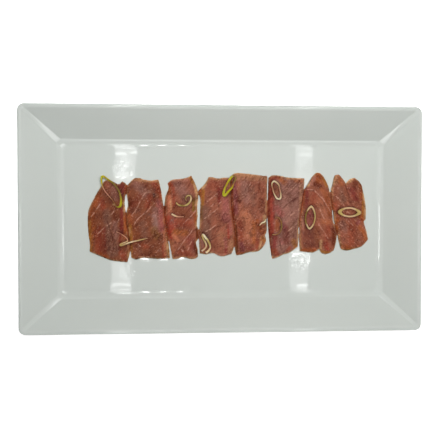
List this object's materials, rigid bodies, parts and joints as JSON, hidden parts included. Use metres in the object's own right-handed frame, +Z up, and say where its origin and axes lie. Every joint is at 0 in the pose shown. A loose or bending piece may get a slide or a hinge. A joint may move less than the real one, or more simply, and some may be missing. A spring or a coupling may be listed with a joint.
{
  "type": "tuna carpaccio",
  "caption": "Thin slices of raw tuna side by side along a white rectangular platter with sloping walls, scattered with rings and strips of spring onion.",
  "frame": {"origin": "middle of the bounding box's bottom, which is the table plane under the foot ring", "axes": "+X along the platter's length towards its right end, +Y across it towards the far side where the slices' heads lie, +Z up"},
  "size_m": [0.355, 0.2, 0.027],
  "materials": {
    "porcelain": "glossy white glaze, faintly grey-green",
    "tuna": "moist raw tuna, brownish red with translucent tan edges",
    "onion": "fresh spring onion, cream to yellow-green"
  },
  "bodies": {
    "root": {"platter": "porcelain", "tuna_slice_1": "tuna", "tuna_slice_2": "tuna", "tuna_slice_3": "tuna", "tuna_slice_4": "tuna", "tuna_slice_5": "tuna", "tuna_slice_6": "tuna", "tuna_slice_7": "tuna", "tuna_slice_8": "tuna", "onion_ring_1": "onion", "onion_ring_2": "onion", "onion_ring_3": "onion", "onion_ring_4": "onion", "onion_ring_5": "onion", "onion_strip_1": "onion", "onion_strip_2": "onion", "onion_strip_3": "onion", "onion_strip_4": "onion", "onion_hook_1": "onion", "onion_hook_2": "onion"}
  },
  "joints": []
}
